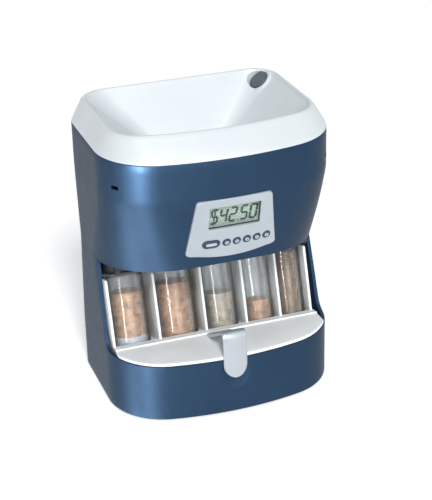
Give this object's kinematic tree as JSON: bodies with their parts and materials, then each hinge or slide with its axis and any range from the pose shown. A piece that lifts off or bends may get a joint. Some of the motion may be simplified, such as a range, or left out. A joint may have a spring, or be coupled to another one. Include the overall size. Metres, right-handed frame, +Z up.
{
  "type": "coin sorting machine",
  "caption": "Bow-fronted counter-top coin sorter with a hopper lid, display and key panel, and a leaning tray of clear coin tubes that draws out by a front handle.",
  "frame": {"origin": "centre of the bounding box's footprint, on the surface the feet stand on", "axes": "+Z up, -Y out of the bowed front with the tray handle, +X to the right of someone facing the front"},
  "size_m": [0.16, 0.1256, 0.203],
  "materials": {
    "casing_blue": "satin metallic blue moulding",
    "lid_silver": "satin silver-white moulding",
    "panel_silver": "satin silver moulding",
    "key_navy": "dark navy key caps",
    "tray_white": "white moulding",
    "handle_silver": "silver translucent moulding",
    "tube_clear": "clear polystyrene tube",
    "coin_copper": "copper-toned coins",
    "coin_nickel": "nickel-toned coins",
    "lens_clear": "clear display window",
    "lcd_green": "grey-green reflective display",
    "board_green": "solder-masked board",
    "dark_plastic": "dark grey moulding",
    "foot_rubber": "black rubber",
    "screw_steel": "zinc-plated steel",
    "disc_ivory": "acetal",
    "pinion_brass": "turned brass",
    "motor_steel": "drawn steel can",
    "cell_wrap": "plain printed cell sleeve",
    "track_steel": "pressed sheet"
  },
  "bodies": {
    "frame": {"casing": "casing_blue", "bottom_plate": "dark_plastic", "feet": "foot_rubber", "base_screws": "screw_steel", "lid": "lid_silver", "power_switch": "dark_plastic", "panel": "panel_silver", "display_lens": "lens_clear", "display_module": "lcd_green", "circuit_board": "board_green", "key_switches": "dark_plastic", "tray_deck": "dark_plastic", "chutes": "dark_plastic", "coin_sensors": "dark_plastic", "sort_track": "track_steel", "deck": "dark_plastic", "motor": "motor_steel", "battery_box": "dark_plastic", "cells": "cell_wrap", "contacts": "screw_steel"},
    "disc": {"sort_disc": "disc_ivory"},
    "pinion": {"drive_pinion": "pinion_brass", "motor_shaft": "screw_steel"},
    "tray": {"tray": "tray_white", "handle": "handle_silver", "tube_quarter": "tube_clear", "tube_dollar": "tube_clear", "tube_nickel": "tube_clear", "tube_penny": "tube_clear", "tube_dime": "tube_clear", "coins_quarter": "coin_copper", "coins_dollar": "coin_copper", "coins_nickel": "coin_nickel", "coins_penny": "coin_copper", "coins_dime": "coin_copper"},
    "power_key": {"power_button": "key_navy"},
    "long_key": {"key_long": "key_navy"},
    "door": {"battery_door": "casing_blue"},
    "round_key_1": {"key_1": "key_navy"},
    "round_key_2": {"key_2": "key_navy"},
    "round_key_3": {"key_3": "key_navy"},
    "round_key_4": {"key_4": "key_navy"},
    "round_key_5": {"key_5": "key_navy"}
  },
  "joints": [
    {"name": "disc_spin", "type": "hinge", "parent": "frame", "child": "disc", "pos_m": [0, 0.0098, 0.147], "axis": [0, 0, 1], "continuous": true},
    {"name": "pinion_spin", "type": "hinge", "parent": "frame", "child": "pinion", "pos_m": [0, 0.0458, 0.143], "axis": [0, 0, 1], "continuous": true},
    {"name": "tray_slide", "type": "slide", "parent": "frame", "child": "tray", "axis": [0, -0.9563, 0.2924], "range_m": [0, 0.06]},
    {"name": "power_press", "type": "slide", "parent": "frame", "child": "power_key", "axis": [0.6365, 0.0895, -0.766], "range_m": [0, 0.0015], "stiffness_N_per_m": 400},
    {"name": "long_key_press", "type": "slide", "parent": "frame", "child": "long_key", "axis": [0, 0.9716, 0.2366], "range_m": [0, 0.0008], "stiffness_N_per_m": 300},
    {"name": "key_1_press", "type": "slide", "parent": "frame", "child": "round_key_1", "axis": [0, 0.9716, 0.2366], "range_m": [0, 0.0008], "stiffness_N_per_m": 300},
    {"name": "key_2_press", "type": "slide", "parent": "frame", "child": "round_key_2", "axis": [0, 0.9716, 0.2366], "range_m": [0, 0.0008], "stiffness_N_per_m": 300},
    {"name": "key_3_press", "type": "slide", "parent": "frame", "child": "round_key_3", "axis": [0, 0.9716, 0.2366], "range_m": [0, 0.0008], "stiffness_N_per_m": 300},
    {"name": "key_4_press", "type": "slide", "parent": "frame", "child": "round_key_4", "axis": [0, 0.9716, 0.2366], "range_m": [0, 0.0008], "stiffness_N_per_m": 300},
    {"name": "key_5_press", "type": "slide", "parent": "frame", "child": "round_key_5", "axis": [0, 0.9716, 0.2366], "range_m": [0, 0.0008], "stiffness_N_per_m": 300},
    {"name": "door_lift_off", "type": "slide", "parent": "frame", "child": "door", "axis": [0, 1, 0], "range_m": [0, 0.03]}
  ],
  "couplings": [
    {"joint": "pinion_spin", "follows": "disc_spin", "ratio": -5}
  ]
}
